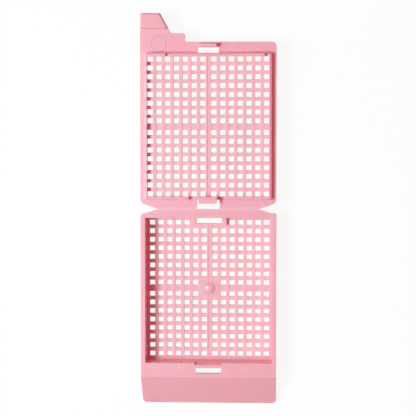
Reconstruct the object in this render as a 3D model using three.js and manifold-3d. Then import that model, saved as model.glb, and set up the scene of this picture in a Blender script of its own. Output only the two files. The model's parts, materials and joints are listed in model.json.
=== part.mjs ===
// Tissue cassette for histology, moulded in one shot of acetal and lying open, as it leaves the mould.
// A perforated tray ends in a sloping writing face, and a perforated lid joins it by a living hinge.
// Millimetres, +Z up. The tray's underside is Z 0 and its middle is X 0, Y 0. The lid opens towards +Y.
//
// Each piece is drawn in the hinge frame, where Y 0 is the hinge line: the tray lies at -Y, the lid at +Y.

import * as THREE from "three";
import { mergeVertices } from "three/addons/utils/BufferGeometryUtils.js";
import Module from "manifold-3d";

const wasm = await Module();
wasm.setup();

// ---------------------------------------------------------------- driving dimensions

const WIDTH = 28.5; // across tray and lid
const BASE_HEIGHT = 6; // underside to rim
const FLOOR = 1; // thickness of the tray's perforated floor
const SIDE_WALL = 0.92;
const REAR_WALL = 1.05;
const FRONT_WALL = 0.82;
const TRAY_LENGTH = 30.68; // inside, along Y
const HINGE_GAP = 0.85; // hinge line to the tray's rear face, at the rim
const REAR_DRAFT = 0.42; // the rear face leans in by this much, down to the underside
const CORNER = 0.9; // outer corners, seen from above

const LAND = 2.96; // flat top between the tray's inside and the writing face
const WRITING_RUN = 6.4; // the writing face, along Y
const WRITING_DROP = 5.2; // the writing face, along Z
const SKIN = 1; // land, writing face and the hollow's side walls
const RIB_OFFSET = 7; // stiffening ribs in the hollow, from the centre line
const RIB = 0.8;

const PITCH = 1.837; // perforations, both ways
const HOLE_X = 1.14;
const HOLE_Y = 1.07;
const CENTRE_BAR_X = 1.157; // wide bar down the middle column
const CENTRE_BAR_Y = 1.371; // wide bar across the middle row
const GRID_MARGIN = 0.4; // least strip between the last perforation and a wall
const BAR_RISE = 0.12; // lengthwise bars stand this much above the crosswise ones
const CENTRE_GROOVE = 0.4; // groove of that depth down the middle column's bar

const PAD_X = 4.1; // solid pad in the middle of the tray's floor
const PAD_Y = 4.7;
const BOSS_RADIUS = 1.9;
const BOSS_RISE = 0.06;
const DOME_RADIUS = 1.27;
const DOME_RISE = 0.34;

const LID = 1; // thickness of the lid's plate
const LID_SETBACK = 0.65; // the shut lid stops this far short of the writing face
const LID_CORNER = 1;
const LID_HINGE_CORNER = 1.1;
const RIDGE_GAP = 0.05; // the ridge inside the tray's walls
const RIDGE_HEIGHT = 1.4;
const RIDGE_SLOPE = 0.4; // outer part of the ridge's top that slopes, as a lead into the tray
const RIDGE_DROP = 0.24; // how far that slope falls
const RIDGE_CORNER = 0.5;
const RIDGE_BREAK = 8; // break in the ridge, beside the hinge catch
const GRIP_LENGTH = 3.1; // two higher stretches of the ridge near the front
const GRIP_OFFSET = 10.3;
const GRIP_RISE = 0.7;
const GRIP_INSET = 0.15; // from the ridge's outer side

const TAB_TIP = 4.15; // thumb tab: widths and reaches from the lid's front edge
const TAB_ROOT = 6.45;
const TAB_REACH = 6;
const TAB_SHOULDER = 9.4;
const TAB_SHOULDER_REACH = 1.77;
const TAB_CORNER = 0.45;
const TAB_FILLET = 0.9;
const TAB_PAD = 3.4; // raised grip at the tab's end
const TAB_PAD_RISE = 0.8;
const TAB_PAD_INSET = 0.08;
const TAB_PAD_DRAFT = 0.3; // the grip's sides lean in by this much

const NOTCH_DEPTH = 3.68; // side notches that shorten the hinge
const WEB_SPAN = 0.9; // web, from tray to lid
const WEB = 0.3; // web's thickness
const NOTCH_ANGLE = THREE.MathUtils.degToRad(19.4); // each side of a notch, from the hinge line

const FRONT_SLOT_X = 5.5; // slot through the land
const FRONT_SLOT_Y = 1.15;
const FRONT_SLOT_LIP = 1.02; // tray's inside to the slot
const FRONT_RELIEF_X = 5.65; // chamfer at the front wall's top, beside the slot
const FRONT_RELIEF = 0.4;
const FRONT_RELIEF_HEIGHT = 1.2;
const FRONT_HOOK_X = 3.6;
const FRONT_HOOK_HEIGHT = 2;
const FRONT_HOOK_REACH = 0.15; // nose beyond the stem
const FRONT_HOOK_DRAFT = 0.45; // the back leans in by this much
const FRONT_HOOK_BEVEL = 0.3;
const FRONT_HOOK_NOSE = 0.3; // lowest part of the nose under the land's underside, when shut
const LID_SLOT_X = 4.4;

const REAR_SLOT_X = 5.4; // slot in the tray's floor, which clears the hinge catch
const REAR_SLOT_Y = 1.45;
const REAR_SLOT_WALL = 0.3;
const REAR_BLOCK_X = 7.4; // block round that slot
const REAR_BLOCK_RISE = 1.3;
const REAR_LEDGE = 0.8; // bridge of the rear wall that the hinge catch passes under
const REAR_HOOK_X = 3.78;
const REAR_HOOK_HEIGHT = 2.3;
const REAR_HOOK_REACH = 0.68; // nose beyond the stem
const REAR_HOOK_BEVEL = 0.12;
const REAR_HOOK_NOSE = 0.5; // thickness of the nose
const HINGE_SLOT_X = 4.76; // opening in lid and web under the hinge catch

const CATCH_CLEARANCE = 0.05; // the front catch inside its slot, at both sides

const ARC_STEPS = 4; // half the straight pieces in a rounded corner
const DOME_STEPS = 5;
const DOME_SIDES = 24;
const SINK = 0.2; // how far a piece that is joined on reaches into its carrier
const WELD = 1e-4; // points that are closer than this are one
const PINK = 0xf6b6c0;

// ---------------------------------------------------------------- places that follow from them

const HALF_WIDTH = WIDTH / 2;
const RIM = BASE_HEIGHT;
const TRAY_HALF_X = HALF_WIDTH - SIDE_WALL;
const TRAY_NEAR = HINGE_GAP + REAR_WALL; // the tray's inside, measured from the hinge line
const TRAY_FAR = TRAY_NEAR + TRAY_LENGTH;
const TRAY_MIDDLE = (TRAY_NEAR + TRAY_FAR) / 2;
const WRITING_TOP = TRAY_FAR + LAND;
const WRITING_FOOT = WRITING_TOP + WRITING_RUN;
const WRITING_ANGLE = Math.atan2(WRITING_DROP, WRITING_RUN);
const LID_END = WRITING_TOP - LID_SETBACK;
const LID_UNDER = RIM - LID;
const BAR_TOP = FLOOR - BAR_RISE;
const WEB_UNDER = RIM - WEB;
const WEB_EDGE = WEB_SPAN / 2;
const NOTCH_SLOPE = Math.tan(NOTCH_ANGLE);
const NOTCH_TIP = HALF_WIDTH - NOTCH_DEPTH;

const FRONT_SLOT_NEAR = TRAY_FAR + FRONT_SLOT_LIP;
const FRONT_SLOT_FAR = FRONT_SLOT_NEAR + FRONT_SLOT_Y;
const FRONT_HOOK_ROOT = FRONT_SLOT_FAR - CATCH_CLEARANCE;
const FRONT_HOOK_TIP = FRONT_SLOT_NEAR + CATCH_CLEARANCE;
const FRONT_HOOK_FACE = FRONT_HOOK_TIP + FRONT_HOOK_REACH;
const REAR_HOOK_FACE = TRAY_NEAR + RIDGE_GAP;
const REAR_HOOK_TIP = REAR_HOOK_FACE - REAR_HOOK_REACH;

// ---------------------------------------------------------------- shapes and solids

function solid(geometry) {
  geometry.deleteAttribute("normal");
  geometry.deleteAttribute("uv");
  const merged = mergeVertices(geometry, WELD);
  return new wasm.Manifold(
    new wasm.Mesh({
      numProp: 3,
      vertProperties: merged.attributes.position.array,
      triVerts: new Uint32Array(merged.index.array),
    }),
  );
}

function geometryOf(manifold) {
  const mesh = manifold.getMesh();
  const geometry = new THREE.BufferGeometry();
  geometry.setAttribute("position", new THREE.BufferAttribute(new Float32Array(mesh.vertProperties), 3));
  geometry.setIndex(new THREE.BufferAttribute(mesh.triVerts, 1));
  geometry.computeVertexNormals();
  return geometry;
}

function rectangle(x0, y0, x1, y1) {
  return new THREE.Shape([
    new THREE.Vector2(x0, y0),
    new THREE.Vector2(x1, y0),
    new THREE.Vector2(x1, y1),
    new THREE.Vector2(x0, y1),
  ]);
}

function polygon(points) {
  return new THREE.Shape(points.map(([x, y]) => new THREE.Vector2(x, y)));
}

// A closed outline through the corners, each rounded to the radius that its third value gives.
function rounded(corners) {
  const path = new THREE.Shape();
  const count = corners.length;
  corners.forEach(([x, y, radius = 0], i) => {
    const corner = new THREE.Vector2(x, y);
    const back = new THREE.Vector2(...corners[(i + count - 1) % count]).sub(corner).normalize();
    const ahead = new THREE.Vector2(...corners[(i + 1) % count]).sub(corner).normalize();
    const half = Math.acos(back.dot(ahead)) / 2;
    const trim = radius / Math.tan(half);
    const start = corner.clone().addScaledVector(back, trim);
    const end = corner.clone().addScaledVector(ahead, trim);
    if (i === 0) path.moveTo(start.x, start.y);
    else path.lineTo(start.x, start.y);
    if (radius === 0) return;
    const inward = back.clone().add(ahead).normalize();
    const centre = corner.clone().addScaledVector(inward, radius / Math.sin(half));
    const from = start.sub(centre).angle();
    const to = end.sub(centre).angle();
    path.absarc(centre.x, centre.y, radius, from, to, back.cross(ahead) > 0);
  });
  path.closePath();
  return path;
}

// A plan outline, or a list of them, raised from z0 to z1.
function raised(shapes, z0, z1) {
  const options = { depth: z1 - z0, bevelEnabled: false, curveSegments: ARC_STEPS };
  return solid(new THREE.ExtrudeGeometry(shapes, options).translate(0, 0, z0));
}

// A side view in Y and Z, swept across X from x0 to x1.
function swept(profile, x0, x1) {
  const geometry = new THREE.ExtrudeGeometry(profile, {
    depth: x1 - x0,
    bevelEnabled: false,
    curveSegments: ARC_STEPS,
  });
  const axes = new THREE.Matrix4().makeBasis(
    new THREE.Vector3(0, 1, 0),
    new THREE.Vector3(0, 0, 1),
    new THREE.Vector3(1, 0, 0),
  );
  return solid(geometry.applyMatrix4(axes).translate(x0, 0, 0));
}

// A solid through outlines of as many points, each at its own height, from the lowest up.
function lofted(levels) {
  const count = levels[0].outline.length;
  const topStart = (levels.length - 1) * count;
  const positions = levels.flatMap(({ outline, z }) => outline.flatMap((p) => [p.x, p.y, z]));
  const index = [];
  for (let start = 0; start < topStart; start += count) {
    for (let i = 0; i < count; i += 1) {
      const here = start + i;
      const next = start + ((i + 1) % count);
      index.push(here, next, next + count, here, next + count, here + count);
    }
  }
  for (const [a, b, c] of THREE.ShapeUtils.triangulateShape(levels[0].outline, [])) {
    index.push(c, b, a, a + topStart, b + topStart, c + topStart);
  }
  const geometry = new THREE.BufferGeometry();
  geometry.setAttribute("position", new THREE.Float32BufferAttribute(positions, 3));
  geometry.setIndex(index);
  return solid(geometry);
}

function roundedBox(halfX, halfY, middleY, radius) {
  return rounded([
    [halfX, middleY - halfY, radius],
    [halfX, middleY + halfY, radius],
    [-halfX, middleY + halfY, radius],
    [-halfX, middleY - halfY, radius],
  ]);
}

// A shape's points, each once.
function outlinePoints(shape) {
  const points = shape.getPoints(ARC_STEPS);
  return points.filter((point, i) => point.distanceTo(points.at(i - 1)) > WELD);
}

// Half the length that the side notches leave, at a distance from the hinge line.
function notchX(distance) {
  return NOTCH_TIP + distance / NOTCH_SLOPE;
}

// ---------------------------------------------------------------- perforations

// Middles of the holes on one side of the centre bar, as many as the span holds.
function holeLine(halfSpan, centreBar, hole) {
  const room = halfSpan - GRID_MARGIN - centreBar / 2 + (PITCH - hole);
  const count = Math.max(0, Math.floor(room / PITCH));
  const first = (centreBar + hole) / 2;
  const side = Array.from({ length: count }, (_, i) => first + i * PITCH);
  return [...side.map((v) => -v).reverse(), ...side];
}

const COLUMNS = holeLine(TRAY_HALF_X, CENTRE_BAR_X, HOLE_X);
const ROWS = holeLine(TRAY_LENGTH / 2, CENTRE_BAR_Y, HOLE_Y);
const GRID_HALF_X = COLUMNS[COLUMNS.length - 1] + HOLE_X / 2;
const GRID_HALF_Y = ROWS[ROWS.length - 1] + HOLE_Y / 2;

function overlaps(x, y, box) {
  const besideX = Math.abs(x - box.x) >= HOLE_X / 2 + box.halfX;
  const besideY = Math.abs(y - box.y) >= HOLE_Y / 2 + box.halfY;
  return !besideX && !besideY;
}

function holes(middleY, solidAreas) {
  const shapes = [];
  for (const x of COLUMNS) {
    for (const row of ROWS) {
      const y = middleY + row;
      if (solidAreas.some((box) => overlaps(x, y, box))) continue;
      shapes.push(rectangle(x - HOLE_X / 2, y - HOLE_Y / 2, x + HOLE_X / 2, y + HOLE_Y / 2));
    }
  }
  return shapes;
}

// Troughs along Y that leave the lengthwise bars standing above the crosswise ones, and the middle groove.
function troughs(middleY) {
  const trough = (x, halfX) =>
    rectangle(x - halfX, middleY - GRID_HALF_Y, x + halfX, middleY + GRID_HALF_Y);
  return [...COLUMNS.map((x) => trough(x, HOLE_X / 2)), trough(0, CENTRE_GROOVE / 2)];
}

// Cuts the perforations through a plate that lies between under and top.
function perforate(plate, middleY, under, top, solidAreas) {
  return plate
    .subtract(raised(holes(middleY, solidAreas), under - SINK, top + SINK))
    .subtract(raised(troughs(middleY), top - BAR_RISE, top + SINK));
}

// ---------------------------------------------------------------- the tray

// Height of the writing face's inner skin over the underside, at a distance from the hinge line.
function innerSlope(distance) {
  return RIM - SKIN / Math.cos(WRITING_ANGLE) - (distance - WRITING_TOP) * Math.tan(WRITING_ANGLE);
}

function trayBody() {
  const side = polygon([
    [-(HINGE_GAP + REAR_DRAFT), 0],
    [-HINGE_GAP, RIM],
    [-WRITING_TOP, RIM],
    [-WRITING_FOOT, RIM - WRITING_DROP],
    [-WRITING_FOOT, 0],
  ]);
  const middle = -(HINGE_GAP + WRITING_FOOT) / 2;
  const plan = roundedBox(HALF_WIDTH, (WRITING_FOOT - HINGE_GAP) / 2, middle, CORNER);
  return swept(side, -HALF_WIDTH, HALF_WIDTH).intersect(raised(plan, 0, RIM));
}

// The lip at rim level that carries the hinge web, chamfered below down to the web's thickness.
function hingeLip() {
  const reach = HINGE_GAP + SINK;
  const side = polygon([
    [-WEB_EDGE, RIM],
    [-WEB_EDGE, WEB_UNDER],
    [-reach, WEB_UNDER - (reach - WEB_EDGE)],
    [-reach, RIM],
  ]);
  const plan = polygon([
    [-notchX(WEB_EDGE), -WEB_EDGE],
    [notchX(WEB_EDGE), -WEB_EDGE],
    [notchX(reach), -reach],
    [-notchX(reach), -reach],
  ]);
  return swept(side, -HALF_WIDTH, HALF_WIDTH).intersect(raised(plan, LID_UNDER, RIM + SINK));
}

function padArea() {
  return { x: 0, y: -TRAY_MIDDLE, halfX: PAD_X / 2, halfY: PAD_Y / 2 };
}

function blockArea() {
  const depth = REAR_SLOT_Y + REAR_SLOT_WALL;
  return { x: 0, y: -(TRAY_NEAR + depth / 2), halfX: REAR_BLOCK_X / 2, halfY: depth / 2 };
}

function areaShape({ x, y, halfX, halfY }) {
  return rectangle(x - halfX, y - halfY, x + halfX, y + halfY);
}

// Round boss with a low dome on it, on the floor's middle pad.
function dome() {
  const radius = (DOME_RADIUS ** 2 + DOME_RISE ** 2) / (2 * DOME_RISE);
  const sweep = Math.asin(DOME_RADIUS / radius);
  const profile = [
    new THREE.Vector2(0, -SINK),
    new THREE.Vector2(BOSS_RADIUS, -SINK),
    new THREE.Vector2(BOSS_RADIUS, 0),
    new THREE.Vector2(BOSS_RADIUS - BOSS_RISE, BOSS_RISE),
  ];
  for (let i = DOME_STEPS; i >= 0; i -= 1) {
    const angle = (sweep * i) / DOME_STEPS;
    const height = BOSS_RISE + DOME_RISE - radius * (1 - Math.cos(angle));
    profile.push(new THREE.Vector2(radius * Math.sin(angle), height));
  }
  const turned = new THREE.LatheGeometry(profile, DOME_SIDES);
  return solid(turned.rotateX(Math.PI / 2).translate(0, -TRAY_MIDDLE, FLOOR));
}

// The hollow under land and writing face, open below, in the bays that the ribs leave.
function frontHollow() {
  const near = TRAY_FAR + FRONT_WALL;
  const skinUnder = RIM - SKIN;
  const bend = WRITING_TOP + (innerSlope(WRITING_TOP) - skinUnder) / Math.tan(WRITING_ANGLE);
  const meetsFloor = WRITING_TOP + innerSlope(WRITING_TOP) / Math.tan(WRITING_ANGLE);
  const far = Math.min(WRITING_FOOT - SKIN, meetsFloor);
  const side = polygon([
    [-near, -SINK],
    [-near, skinUnder],
    [-bend, skinUnder],
    [-far, Math.max(innerSlope(far), 0)],
    [-far, -SINK],
  ]);
  const inside = HALF_WIDTH - SKIN;
  const ribNear = RIB_OFFSET - RIB / 2;
  const ribFar = RIB_OFFSET + RIB / 2;
  return swept(side, -ribNear, ribNear)
    .add(swept(side, ribFar, inside))
    .add(swept(side, -inside, -ribFar));
}

// The chamfer that leads the front catch past the front wall.
function frontRelief() {
  const under = RIM - FRONT_RELIEF_HEIGHT;
  const lean = FRONT_RELIEF / FRONT_RELIEF_HEIGHT;
  const side = polygon([
    [-TRAY_FAR + SINK, under],
    [-TRAY_FAR, under],
    [-TRAY_FAR - FRONT_RELIEF - SINK * lean, RIM + SINK],
    [-TRAY_FAR + SINK, RIM + SINK],
  ]);
  return swept(side, -FRONT_RELIEF_X / 2, FRONT_RELIEF_X / 2);
}

function base() {
  const pad = padArea();
  const block = blockArea();
  const inside = rectangle(-TRAY_HALF_X, -TRAY_FAR, TRAY_HALF_X, -TRAY_NEAR);
  const frontSlot = rectangle(-FRONT_SLOT_X / 2, -FRONT_SLOT_FAR, FRONT_SLOT_X / 2, -FRONT_SLOT_NEAR);
  const slotX = REAR_SLOT_X / 2;
  const rearSlot = rectangle(-slotX, -(TRAY_NEAR + REAR_SLOT_Y), slotX, 0);
  const shell = trayBody()
    .add(hingeLip())
    .subtract(raised(inside, FLOOR, RIM + SINK))
    .subtract(frontRelief())
    .subtract(frontHollow())
    .subtract(raised(frontSlot, RIM - SKIN - SINK, RIM + SINK));
  return perforate(shell, -TRAY_MIDDLE, 0, FLOOR, [pad, block])
    .add(raised(areaShape(pad), 0, FLOOR))
    .add(dome())
    .add(raised(areaShape(block), 0, FLOOR + REAR_BLOCK_RISE))
    .subtract(raised(rearSlot, -SINK, RIM - REAR_LEDGE));
}

// ---------------------------------------------------------------- the lid

// Plan of the lid, counter-clockwise from the hinge's right end.
function lidPlan() {
  const left = -HALF_WIDTH;
  const notchMouth = NOTCH_DEPTH * NOTCH_SLOPE;
  const tabEnd = LID_END + TAB_REACH;
  const shoulderEnd = LID_END + TAB_SHOULDER_REACH;
  return rounded([
    [notchX(WEB_EDGE), WEB_EDGE],
    [HALF_WIDTH, notchMouth, LID_HINGE_CORNER],
    [HALF_WIDTH, LID_END, LID_CORNER],
    [left + TAB_SHOULDER, LID_END],
    [left + TAB_SHOULDER, shoulderEnd, TAB_CORNER],
    [left + TAB_ROOT, shoulderEnd, TAB_FILLET],
    [left + TAB_TIP, tabEnd, TAB_CORNER],
    [left, tabEnd, TAB_CORNER],
    [left, notchMouth, LID_HINGE_CORNER],
    [-notchX(WEB_EDGE), WEB_EDGE],
  ]);
}

// The plate, chamfered below along the hinge down to the web's thickness.
function lidPlate() {
  const chamfer = polygon([
    [WEB_EDGE - SINK, WEB_UNDER + SINK],
    [WEB_EDGE - SINK, LID_UNDER - SINK],
    [WEB_EDGE + LID - WEB + SINK, LID_UNDER - SINK],
  ]);
  const edge = swept(chamfer, -WIDTH, WIDTH);
  return raised(lidPlan(), LID_UNDER, RIM).subtract(edge);
}

// The ridge round the perforations, which drops inside the tray's walls when the lid is shut.
function ridge() {
  const halfX = TRAY_HALF_X - RIDGE_GAP;
  const halfY = TRAY_LENGTH / 2 - RIDGE_GAP;
  const inset = (by) =>
    outlinePoints(roundedBox(halfX - by, halfY - by, TRAY_MIDDLE, RIDGE_CORNER - by));
  const top = RIM + RIDGE_HEIGHT;
  const outer = lofted([
    { outline: inset(0), z: RIM - SINK },
    { outline: inset(0), z: top - RIDGE_DROP },
    { outline: inset(RIDGE_SLOPE), z: top },
  ]);
  const [near, far] = [TRAY_MIDDLE - GRID_HALF_Y, TRAY_MIDDLE + GRID_HALF_Y];
  const inner = rectangle(-GRID_HALF_X, near, GRID_HALF_X, far);
  const nearBreak = rectangle(-RIDGE_BREAK / 2, 0, RIDGE_BREAK / 2, TRAY_MIDDLE);
  const ring = outer.subtract(raised(inner, RIM - 2 * SINK, top + SINK));
  return ring.subtract(raised(nearBreak, RIM - 2 * SINK, top + SINK)).add(grips(halfY, top));
}

// Two short stretches of the front ridge that stand higher than the rest.
function grips(halfY, top) {
  const far = TRAY_MIDDLE + halfY - GRIP_INSET;
  const near = TRAY_MIDDLE + GRID_HALF_Y;
  const shapes = [-GRIP_OFFSET, GRIP_OFFSET].map((x) =>
    rectangle(x - GRIP_LENGTH / 2, near, x + GRIP_LENGTH / 2, far),
  );
  return raised(shapes, top - RIDGE_DROP - SINK, top + GRIP_RISE);
}

// A stem with a nose that points at the hinge. Its back runs from root, at the plate, to crest, at the top.
function hook(width, height, { root, crest, face, tip, bevel, noseUnder }) {
  const side = polygon([
    [root, -SINK],
    [root, 0],
    [crest, height],
    [tip + bevel, height],
    [tip, height - bevel],
    [tip, noseUnder],
    [face, noseUnder],
    [face, -SINK],
  ]);
  return swept(side, -width / 2, width / 2).translate(0, 0, RIM);
}

function frontHook() {
  return hook(FRONT_HOOK_X, FRONT_HOOK_HEIGHT, {
    root: FRONT_HOOK_ROOT,
    crest: FRONT_HOOK_ROOT - FRONT_HOOK_DRAFT,
    face: FRONT_HOOK_FACE,
    tip: FRONT_HOOK_TIP,
    bevel: FRONT_HOOK_BEVEL,
    noseUnder: SKIN + FRONT_HOOK_NOSE,
  });
}

// The rear catch stands between the hinge slot and the first row of perforations.
function rearHook() {
  const back = TRAY_MIDDLE - GRID_HALF_Y;
  return hook(REAR_HOOK_X, REAR_HOOK_HEIGHT, {
    root: back,
    crest: back,
    face: REAR_HOOK_FACE,
    tip: REAR_HOOK_TIP,
    bevel: REAR_HOOK_BEVEL,
    noseUnder: REAR_HOOK_HEIGHT - REAR_HOOK_NOSE,
  });
}

// Outline of the raised grip, set in from the thumb tab's outline.
function tabPadOutline(inset) {
  const left = -HALF_WIDTH + inset;
  const far = LID_END + TAB_REACH - inset;
  const near = LID_END + TAB_REACH - TAB_PAD + inset - TAB_PAD_INSET;
  const slope = (TAB_ROOT - TAB_TIP) / (TAB_REACH - TAB_SHOULDER_REACH);
  const rightAt = (y) => -HALF_WIDTH + TAB_TIP + (LID_END + TAB_REACH - y) * slope - inset;
  return outlinePoints(
    rounded([
      [left, near],
      [rightAt(near), near],
      [rightAt(far), far, TAB_CORNER],
      [left, far, TAB_CORNER],
    ]),
  );
}

// The raised grip at the end of the thumb tab, with its sides leaning in.
function tabPad() {
  const lean = TAB_PAD_DRAFT / TAB_PAD_RISE;
  return lofted([
    { outline: tabPadOutline(TAB_PAD_INSET - SINK * lean), z: RIM - SINK },
    { outline: tabPadOutline(TAB_PAD_INSET + TAB_PAD_DRAFT), z: RIM + TAB_PAD_RISE },
  ]);
}

function lid() {
  const ridgeEnd = TRAY_FAR - RIDGE_GAP;
  const frontSlot = rectangle(-LID_SLOT_X / 2, ridgeEnd, LID_SLOT_X / 2, FRONT_HOOK_FACE);
  const hingeSlot = rectangle(-HINGE_SLOT_X / 2, 0, HINGE_SLOT_X / 2, REAR_HOOK_FACE);
  const cuts = raised([frontSlot, hingeSlot], LID_UNDER - SINK, RIM + SINK);
  return perforate(lidPlate(), TRAY_MIDDLE, LID_UNDER, RIM, [])
    .add(ridge())
    .subtract(cuts)
    .add(frontHook())
    .add(rearHook())
    .add(tabPad());
}

// ---------------------------------------------------------------- the living hinge

// The thin web, notched at both ends and opened on the lid's side under the hinge catch.
function livingHinge() {
  const end = notchX(WEB_EDGE);
  const slot = HINGE_SLOT_X / 2;
  const plan = polygon([
    [end, -WEB_EDGE],
    [NOTCH_TIP, 0],
    [end, WEB_EDGE],
    [slot, WEB_EDGE],
    [slot, 0],
    [-slot, 0],
    [-slot, WEB_EDGE],
    [-end, WEB_EDGE],
    [-NOTCH_TIP, 0],
    [-end, -WEB_EDGE],
  ]);
  return raised(plan, WEB_UNDER, RIM);
}

// ---------------------------------------------------------------- assembly

function piece(name, manifold) {
  const material = new THREE.MeshStandardMaterial({ color: PINK, roughness: 0.45, metalness: 0 });
  const mesh = new THREE.Mesh(geometryOf(manifold), material);
  mesh.name = name;
  return mesh;
}

const cassette = new THREE.Group();
cassette.position.y = TRAY_MIDDLE;
cassette.add(piece("base", base()), piece("lid", lid()), piece("living_hinge", livingHinge()));

export default cassette;
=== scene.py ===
"""Looks of a pink tissue cassette, lying open: one moulding of satin acetal, on a white sweep."""

import json
import math

import bmesh
import bpy
from mathutils import Matrix, Vector


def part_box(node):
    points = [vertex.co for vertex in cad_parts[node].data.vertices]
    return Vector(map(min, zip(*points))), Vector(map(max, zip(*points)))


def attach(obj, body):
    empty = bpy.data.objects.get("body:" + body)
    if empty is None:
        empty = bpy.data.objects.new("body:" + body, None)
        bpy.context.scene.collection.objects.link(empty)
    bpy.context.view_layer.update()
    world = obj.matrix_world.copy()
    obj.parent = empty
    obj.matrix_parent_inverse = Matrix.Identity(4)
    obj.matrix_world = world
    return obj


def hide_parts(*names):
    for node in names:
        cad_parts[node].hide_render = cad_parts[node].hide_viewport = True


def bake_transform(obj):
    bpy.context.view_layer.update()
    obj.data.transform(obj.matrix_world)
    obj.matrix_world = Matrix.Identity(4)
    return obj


MM = 0.001

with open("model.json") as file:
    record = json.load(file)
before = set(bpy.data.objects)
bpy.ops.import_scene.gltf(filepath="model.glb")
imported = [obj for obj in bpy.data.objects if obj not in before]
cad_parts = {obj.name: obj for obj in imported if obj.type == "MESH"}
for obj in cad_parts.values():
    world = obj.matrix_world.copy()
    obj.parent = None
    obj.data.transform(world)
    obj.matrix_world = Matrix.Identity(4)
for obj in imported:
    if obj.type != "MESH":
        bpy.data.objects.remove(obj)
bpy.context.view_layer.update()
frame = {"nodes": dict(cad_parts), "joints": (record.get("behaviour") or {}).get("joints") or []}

# ------------------------------------------------------------------ places from the frame

HINGE = Vector(frame["joints"][0]["pos_m"])
WEB_LOW, WEB_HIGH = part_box("living_hinge")
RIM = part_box("base")[1].z
HINGE_LINE = Vector((0, HINGE.y, RIM))
TRAY = Vector((0, 0, RIM))

# ------------------------------------------------------------------ camera, light and floor

# Camera: above the lid and a little to its right, and aimed at the middle of the hinge.
CAMERA_FROM_HINGE = Vector((15.94, 19.54, 315.0)) * MM
CAMERA_AIM = Vector((-0.05, 0.22, 0)) * MM
LENS = 130.55
SENSOR = 36.0
CLIP_NEAR, CLIP_FAR = 0.01, 10

# Lamps: place from the middle of the tray's rim, size, power and colour. Both face that middle.
# They lean to cyan and the sky to red, which gives shadows as red as the photo's. On faces that
# both reach, the sum is close to neutral.
KEY = (Vector((-150, 0, 300)) * MM, (130 * MM, 80 * MM), 1.02, (0.65, 1.0, 1.0))
SIDE_FILL = (Vector((-260, 0, 120)) * MM, (130 * MM, 240 * MM), 0.19, (0.5, 1.0, 1.0))
SKY = (0.42, 0.09, 0.10, 1)
WHITE = (1, 1, 1, 1)

# Floor: a white that glows by itself to the camera, plus the part that takes light and shadow.
# Rays that light the object meet plain paper there.
FLOOR_HALF = 0.6
FLOOR_GLOW = 0.91
FLOOR_SHADE = (0.09, 0.09, 0.09, 1)
PAPER = (0.9, 0.9, 0.9, 1)

# ------------------------------------------------------------------ plastic

# Colours
PINK = (0.97, 0.485, 0.55, 1)
DEEP_PINK = (0.97, 0.45, 0.515, 1)
# Painted light: a paler pink over the perforated fields, brightening bars that render darker
GRILLE_PAINTED_LIGHT_PINK = (1.0, 0.53, 0.57, 1)
FLEXED_PINK = (1.0, 0.54, 0.575, 1)
# Painted highlight for the sinks, and painted shadow for the catch's corner and the grips' ends
PAINTED_HIGHLIGHT_PINK = (0.99, 0.55, 0.60, 1)
PAINTED_SHADOW_RED = (0.35, 0.05, 0.06, 1)

# Clouds, lengthwise streaks, and grain: how many to the metre
CLOUDS = 90
STREAKS = 700
STREAK_STRETCH = 0.05
GRAIN = 2600
# Least share of the deeper pink, and the strength and depth of the grain's bump
TINT_LEAST = 0.2
GRAIN_STRENGTH = 0.15
GRAIN_DEPTH = 0.01 * MM

# Least and most roughness
SATIN = (0.2, 0.31)
POLISHED = (0.24, 0.3)

# How far light goes in, in millimetres of red, green and blue
GLOW_DEPTH = (0.45, 0.09, 0.11)
FLEXED_GLOW = (0.05, 0.04, 0.045)
ACETAL_IOR = 1.48

# Softened edges of the CAD nodes
EDGE = 0.05 * MM
EDGE_ANGLE = math.radians(40)

# Spots in the material alone, place, width and colour: sinks left by the mould, each a shallow
# dent with a painted highlight, then painted shadow at the catch's corner and the grips' ends
SINKS_WITH_PAINTED_HIGHLIGHT = (
    (Vector((-6.4, -16.3, 6)) * MM, 1.2 * MM, PAINTED_HIGHLIGHT_PINK),
    (Vector((7.3, -16.3, 6)) * MM, 1.2 * MM, PAINTED_HIGHLIGHT_PINK),
)
# Painted shadow: dark spots where the catch's corner and the ends of the ridge's grips lie in
# shade
CATCH_CORNER_SHADOW = (Vector((-2.76, -15.35, 5)) * MM, 0.9 * MM, PAINTED_SHADOW_RED)
GRIP_END_SHADOWS = (
    (Vector((-8.6, 49.38, 7)) * MM, 0.8 * MM, PAINTED_SHADOW_RED),
    (Vector((12.0, 49.38, 7)) * MM, 0.8 * MM, PAINTED_SHADOW_RED),
)
MARK_SINK = 0.05 * MM
# How far below its place a mark ends, so that the other side of the plate stays plain
MARK_REACH = 0.6 * MM

# Perforated fields of tray and lid: half sizes, the middle's distance from the hinge line, and
# the share of the half size at which the paler pink painted over them as light starts to fade
GRILLE_HALF_X = 12.4 * MM
GRILLE_HALF_Y = 14.8 * MM
GRILLE_MIDDLE = 17.24 * MM
GRILLE_EDGE = 0.97

# ------------------------------------------------------------------ sizes of the added pieces

TURNED_SIDES = 48

# Dome in the middle of the tray's floor
DOME_FOOT = Vector((0, 0, 1.06)) * MM
DOME_RADIUS = 1.29 * MM
DOME_RISE = 0.36 * MM
DOME_STEPS = 10

# Plain raised ring on the tab
RING_FOOT = Vector((-10.56, 51.7, 6)) * MM
RING_RADIUS = 1.57 * MM
RING_HALF = 0.16 * MM
RING_RISE = 0.03 * MM
RING_SINK = 0.05 * MM
RING_STEPS = 6

# Living hinge: half the web's length along Y, and how far its ends lap over lip and plate
WEB_HALF = 0.45 * MM
LAP = (0.45 * MM, 0.75 * MM)
LAP_RISE = 0.012 * MM
LAP_INSET = 0.03 * MM
NOTCH_SLOPE = math.tan(math.radians(19.4))
# Half the opening under the hinge catch, and half the straight pieces in the bending web
SLOT_HALF = 2.38 * MM
WEB_STEPS = 4
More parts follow.
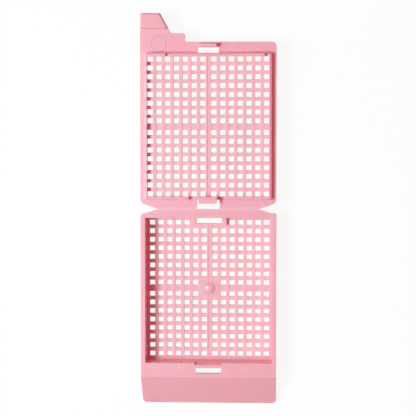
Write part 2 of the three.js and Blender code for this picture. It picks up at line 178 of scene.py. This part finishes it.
# Its paler colour ends this many times half its length from the hinge line
FLEXED_REACH = 1.2
# Faces of a block whose corners go round its near end, then round its far end
BLOCK_FACES = ((0, 1, 2, 3), (7, 6, 5, 4), (0, 4, 5, 1), (1, 5, 6, 2), (2, 6, 7, 3), (3, 7, 4, 0))


# ------------------------------------------------------------------ node helpers


class Nodes:
    """The node tree of a material or a world, emptied, with calls that add nodes to it."""

    def __init__(self, owner):
        owner.use_nodes = True
        self.owner = owner
        self.tree = owner.node_tree
        self.tree.nodes.clear()

    def add(self, kind, inputs=None, **settings):
        """New node. An input is a constant, or the output that it is linked to."""
        node = self.tree.nodes.new(kind)
        for name, value in settings.items():
            setattr(node, name, value)
        for name, value in (inputs or {}).items():
            if isinstance(value, bpy.types.NodeSocket):
                self.tree.links.new(value, node.inputs[name])
            else:
                node.inputs[name].default_value = value
        return node

    def math(self, operation, *values, **settings):
        inputs = dict(enumerate(values))
        return self.add("ShaderNodeMath", inputs, operation=operation, **settings).outputs[0]

    def fade(self, distance, reach):
        """One at no distance, falling smoothly to nought at the reach."""
        ends = {"From Min": 0.0, "From Max": reach, "To Min": 1.0, "To Max": 0.0}
        ramp = self.add(
            "ShaderNodeMapRange", {"Value": distance, **ends}, interpolation_type="SMOOTHSTEP"
        )
        return ramp.outputs["Result"]

    def paint(self, share, ground, coat):
        """The ground's colour, and the coat's where the share is one."""
        mix = self.add("ShaderNodeMix", {"Factor": share, 6: ground, 7: coat}, data_type="RGBA")
        return mix.outputs[2]

    def shaders(self, share, ground, other):
        """The ground's shader, and the other one where the share is one."""
        mix = self.add("ShaderNodeMixShader", {"Fac": share, 1: ground, 2: other})
        return mix.outputs["Shader"]


def spot(n, where, place, width):
    """One at a place, seen from above, falling to nought at half the width, and far below it."""
    level = n.add("ShaderNodeVectorMath", {0: where, 1: (1, 1, 0)}, operation="MULTIPLY")
    centre = (place.x, place.y, 0)
    away = n.add("ShaderNodeVectorMath", {0: level.outputs[0], 1: centre}, operation="DISTANCE")
    height = n.add("ShaderNodeSeparateXYZ", {"Vector": where}).outputs["Z"]
    near = n.math("GREATER_THAN", height, place.z - MARK_REACH)
    return n.math("MULTIPLY", n.fade(away.outputs["Value"], width / 2), near)


def grille(n, where, middle):
    """One inside the perforated field, nought outside it."""
    place = n.add("ShaderNodeSeparateXYZ", {"Vector": where})
    along = n.math("SUBTRACT", place.outputs["Y"], middle)
    share = n.math(
        "MAXIMUM",
        n.math("DIVIDE", n.math("ABSOLUTE", place.outputs["X"]), GRILLE_HALF_X),
        n.math("DIVIDE", n.math("ABSOLUTE", along), GRILLE_HALF_Y),
    )
    ends = {"From Min": GRILLE_EDGE, "From Max": 1.0, "To Min": 1.0, "To Max": 0.0}
    return n.add("ShaderNodeMapRange", {"Value": share, **ends}).outputs["Result"]


def plastic(name, highlight_and_shadow_spots=(), painted_light_field=None, flexed=False, glow=GLOW_DEPTH, finish=SATIN):
    """Satin moulded acetal: light goes a little way in, red the furthest.

    The spots are painted highlights at sinks and painted shadows at corners. The perforated
    field's middle along Y, if given, places a paler pink painted over the field as light.
    Flexed plastic is paler at the hinge line.
    """
    n = Nodes(bpy.data.materials.new(name))
    where = n.add("ShaderNodeTexCoord").outputs["Object"]
    cloud = n.add("ShaderNodeTexNoise", {"Vector": where, "Scale": CLOUDS, "Detail": 3})
    stretch = (1, STREAK_STRETCH, STREAK_STRETCH)
    along = n.add("ShaderNodeMapping", {"Vector": where, "Scale": stretch}).outputs["Vector"]
    streak = n.add("ShaderNodeTexNoise", {"Vector": along, "Scale": STREAKS, "Detail": 2})
    noise = n.add("ShaderNodeTexNoise", {"Vector": where, "Scale": GRAIN, "Detail": 2})
    grain = noise.outputs["Fac"]

    tint = n.math("MULTIPLY_ADD", cloud.outputs["Fac"], streak.outputs["Fac"], TINT_LEAST)
    colour = n.paint(tint, PINK, DEEP_PINK)
    # Painted light: a paler pink over the perforated field brightens its bars
    if painted_light_field is not None:
        colour = n.paint(grille(n, where, painted_light_field), colour, GRILLE_PAINTED_LIGHT_PINK)
    if flexed:
        place = n.add("ShaderNodeSeparateXYZ", {"Vector": where})
        off = n.math("ABSOLUTE", n.math("SUBTRACT", place.outputs["Y"], HINGE.y))
        colour = n.paint(n.fade(off, FLEXED_REACH * WEB_HALF), colour, FLEXED_PINK)

    least, most = finish
    rough = n.add("ShaderNodeMapRange", {"Value": grain, "To Min": least, "To Max": most})
    relief = {"Height": grain, "Strength": GRAIN_STRENGTH, "Distance": GRAIN_DEPTH}
    normal = n.add("ShaderNodeBump", relief).outputs["Normal"]
    # Each spot is painted into the colour: a painted highlight with a shallow dent, or a painted
    # shadow
    for place, width, coat in highlight_and_shadow_spots:
        share = spot(n, where, place, width)
        relief = {"Height": share, "Distance": MARK_SINK, "Normal": normal}
        normal = n.add("ShaderNodeBump", relief, invert=True).outputs["Normal"]
        colour = n.paint(share, colour, coat)

    shader = n.add(
        "ShaderNodeBsdfPrincipled",
        {
            "Base Color": colour,
            "Roughness": rough.outputs["Result"],
            "Normal": normal,
            "Subsurface Weight": 1.0,
            "Subsurface Radius": glow,
            "Subsurface Scale": 1 * MM,
            "IOR": ACETAL_IOR,
        },
    )
    n.add("ShaderNodeOutputMaterial", {"Surface": shader.outputs["BSDF"]})
    return n.owner


# ------------------------------------------------------------------ pieces


def put(name, data):
    """New object in the scene."""
    obj = bpy.data.objects.new(name, data)
    bpy.context.scene.collection.objects.link(obj)
    return obj


def to_piece(name, mesh, material):
    """New object from a bmesh, with its faces turned outwards."""
    bmesh.ops.recalc_face_normals(mesh, faces=mesh.faces)
    data = bpy.data.meshes.new(name)
    mesh.to_mesh(data)
    mesh.free()
    data.materials.append(material)
    return put(name, data)


def dress(node, material):
    """Gives a CAD node its material and softened edges."""
    piece = frame["nodes"][node]
    piece.data.materials.clear()
    piece.data.materials.append(material)
    bevel = piece.modifiers.new("edges", "BEVEL")
    bevel.width = EDGE
    bevel.segments = 2
    bevel.limit_method = "ANGLE"
    bevel.angle_limit = EDGE_ANGLE
    bevel.use_clamp_overlap = False


def half_length(distance):
    """Half the length that the side notches leave, at a distance from the hinge line."""
    inset = LAP_INSET if abs(distance) > WEB_HALF else 0
    return WEB_HIGH.x - (WEB_HALF - abs(distance)) / NOTCH_SLOPE - inset


def web_blocks():
    """Corners of each block of the web and its laps. None fills the hinge catch's opening."""
    near, far = -(WEB_HALF + LAP[0]), WEB_HALF + LAP[1]
    bending = [WEB_HALF * i / WEB_STEPS for i in range(1 - WEB_STEPS, WEB_STEPS)]
    steps = [near, -WEB_HALF, *bending, WEB_HALF, far]
    under, top = WEB_LOW.z, RIM + LAP_RISE
    for side in (-1, 1):
        for low, high in zip(steps, steps[1:]):
            for part in (0, 1) if low < 0 else (1,):
                block = []
                for d in (low, high):
                    inner, outer = (0, SLOT_HALF, half_length(d))[part : part + 2]
                    for x, z in ((inner, under), (outer, under), (outer, top), (inner, top)):
                        block.append((side * x, HINGE.y + d, z))
                yield block


def living_hinge(material):
    """The thin web, which bends as the lid turns, with its ends lapping over lip and plate."""
    skin = {}
    for block in web_blocks():
        for ring in BLOCK_FACES:
            face = [block[i] for i in ring]
            # A face that two blocks share is inside the web, and goes.
            if skin.pop(frozenset(face), None) is None:
                skin[frozenset(face)] = face
    mesh = bmesh.new()
    corners = {}
    for face in skin.values():
        for place in face:
            if place not in corners:
                corners[place] = mesh.verts.new(place)
        mesh.faces.new([corners[place] for place in face])
    piece = to_piece("living_hinge_web", mesh, material)
    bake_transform(piece)
    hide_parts("living_hinge")


def circle(mesh, foot, reach, height):
    """Corners round the axis, or the one corner on it."""
    turns = [2 * math.pi * k / TURNED_SIDES for k in range(TURNED_SIDES if reach > 0 else 1)]
    return [
        mesh.verts.new(foot + Vector((reach * math.cos(turn), reach * math.sin(turn), height)))
        for turn in turns
    ]


def turned(name, foot, profile, body, material):
    """Piece turned about an upright axis through its foot, from a profile of (reach, height).

    A profile that starts off the axis is closed into a ring.
    """
    mesh = bmesh.new()
    rings = [circle(mesh, foot, reach, height) for reach, height in profile]
    if profile[0][0] > 0:
        rings.append(rings[0])
    for upper, lower in zip(rings, rings[1:]):
        for k in range(TURNED_SIDES):
            steps = ((upper, k), (lower, k), (lower, k + 1), (upper, k + 1))
            corners = [ring[step % len(ring)] for ring, step in steps]
            mesh.faces.new(dict.fromkeys(corners)).smooth = True
    piece = to_piece(name, mesh, material)
    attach(piece, body)


def dome_profile():
    """Low dome, carried down a little way into the floor."""
    radius = (DOME_RADIUS**2 + DOME_RISE**2) / (2 * DOME_RISE)
    sweep = math.asin(DOME_RADIUS / radius)
    angles = [sweep * i / DOME_STEPS for i in range(DOME_STEPS + 1)]
    cap = [(radius * math.sin(a), DOME_RISE - radius * (1 - math.cos(a))) for a in angles]
    return [*cap, (DOME_RADIUS, -DOME_RISE), (0, -DOME_RISE)]


def ring_profile():
    """Round-backed ring, carried down a little way into the plate."""
    angles = [math.pi * i / RING_STEPS for i in range(RING_STEPS + 1)]
    back = [(RING_RADIUS + RING_HALF * math.cos(a), RING_RISE * math.sin(a)) for a in angles]
    inner, outer = RING_RADIUS - RING_HALF, RING_RADIUS + RING_HALF
    return [*back, (inner, -RING_SINK), (outer, -RING_SINK)]


# ------------------------------------------------------------------ stage


def seen(n):
    """One for rays that show the backdrop, nought for rays that light the object."""
    path = n.add("ShaderNodeLightPath")
    glossy = n.math("ADD", path.outputs["Is Camera Ray"], path.outputs["Is Glossy Ray"])
    return n.math("ADD", glossy, path.outputs["Is Transmission Ray"], use_clamp=True)


def floor():
    mesh = bpy.data.meshes.new("floor")
    signs = ((-1, -1), (1, -1), (1, 1), (-1, 1))
    mesh.from_pydata([(x * FLOOR_HALF, y * FLOOR_HALF, 0) for x, y in signs], [], [(0, 1, 2, 3)])
    obj = put("floor", mesh)
    n = Nodes(bpy.data.materials.new("floor"))
    paper = n.add("ShaderNodeBsdfDiffuse", {"Color": PAPER})
    shaded = n.add("ShaderNodeBsdfDiffuse", {"Color": FLOOR_SHADE})
    glow = n.add("ShaderNodeEmission", {"Color": WHITE, "Strength": FLOOR_GLOW})
    parts = {0: shaded.outputs["BSDF"], 1: glow.outputs["Emission"]}
    white = n.add("ShaderNodeAddShader", parts).outputs["Shader"]
    surface = n.shaders(seen(n), paper.outputs["BSDF"], white)
    n.add("ShaderNodeOutputMaterial", {"Surface": surface})
    obj.data.materials.append(n.owner)


def area_light(name, place, size, power, colour):
    data = bpy.data.lights.new(name, "AREA")
    data.shape = "RECTANGLE"
    data.size, data.size_y = size
    data.energy = power
    data.color = colour
    lamp = put(name, data)
    lamp.location = TRAY + place
    lamp.rotation_euler = place.to_track_quat("Z", "Y").to_euler()


def light():
    area_light("key", *KEY)
    area_light("side_fill", *SIDE_FILL)
    world = bpy.data.worlds.new("studio")
    bpy.context.scene.world = world
    n = Nodes(world)
    sky = n.add("ShaderNodeBackground", {"Color": SKY}).outputs["Background"]
    backdrop = n.add("ShaderNodeBackground", {"Color": WHITE}).outputs["Background"]
    n.add("ShaderNodeOutputWorld", {"Surface": n.shaders(seen(n), sky, backdrop)})


def camera():
    data = bpy.data.cameras.new("camera")
    data.lens = LENS
    data.sensor_width = SENSOR
    data.clip_start = CLIP_NEAR
    data.clip_end = CLIP_FAR
    obj = put("camera", data)
    back = (CAMERA_FROM_HINGE - CAMERA_AIM).normalized()
    right = Vector((0, 1, 0)).cross(back).normalized()
    turn = Matrix((right, back.cross(right), back)).transposed()
    obj.matrix_world = Matrix.Translation(HINGE_LINE + CAMERA_FROM_HINGE) @ turn.to_4x4()
    bpy.context.scene.camera = obj


# ------------------------------------------------------------------ the scene

bpy.context.scene.view_settings.view_transform = "Standard"
camera()
light()
floor()
dress("base", plastic("tray_acetal", (*SINKS_WITH_PAINTED_HIGHLIGHT, CATCH_CORNER_SHADOW), painted_light_field=HINGE.y - GRILLE_MIDDLE))
dress("lid", plastic("lid_acetal", GRIP_END_SHADOWS, painted_light_field=HINGE.y + GRILLE_MIDDLE))
living_hinge(plastic("hinge_acetal", flexed=True, glow=FLEXED_GLOW))
small = plastic("dome_and_ring_acetal", glow=FLEXED_GLOW, finish=POLISHED)
turned("floor_dome", DOME_FOOT, dome_profile(), "tray", small)
turned("tab_ring", RING_FOOT, ring_profile(), "lid", small)
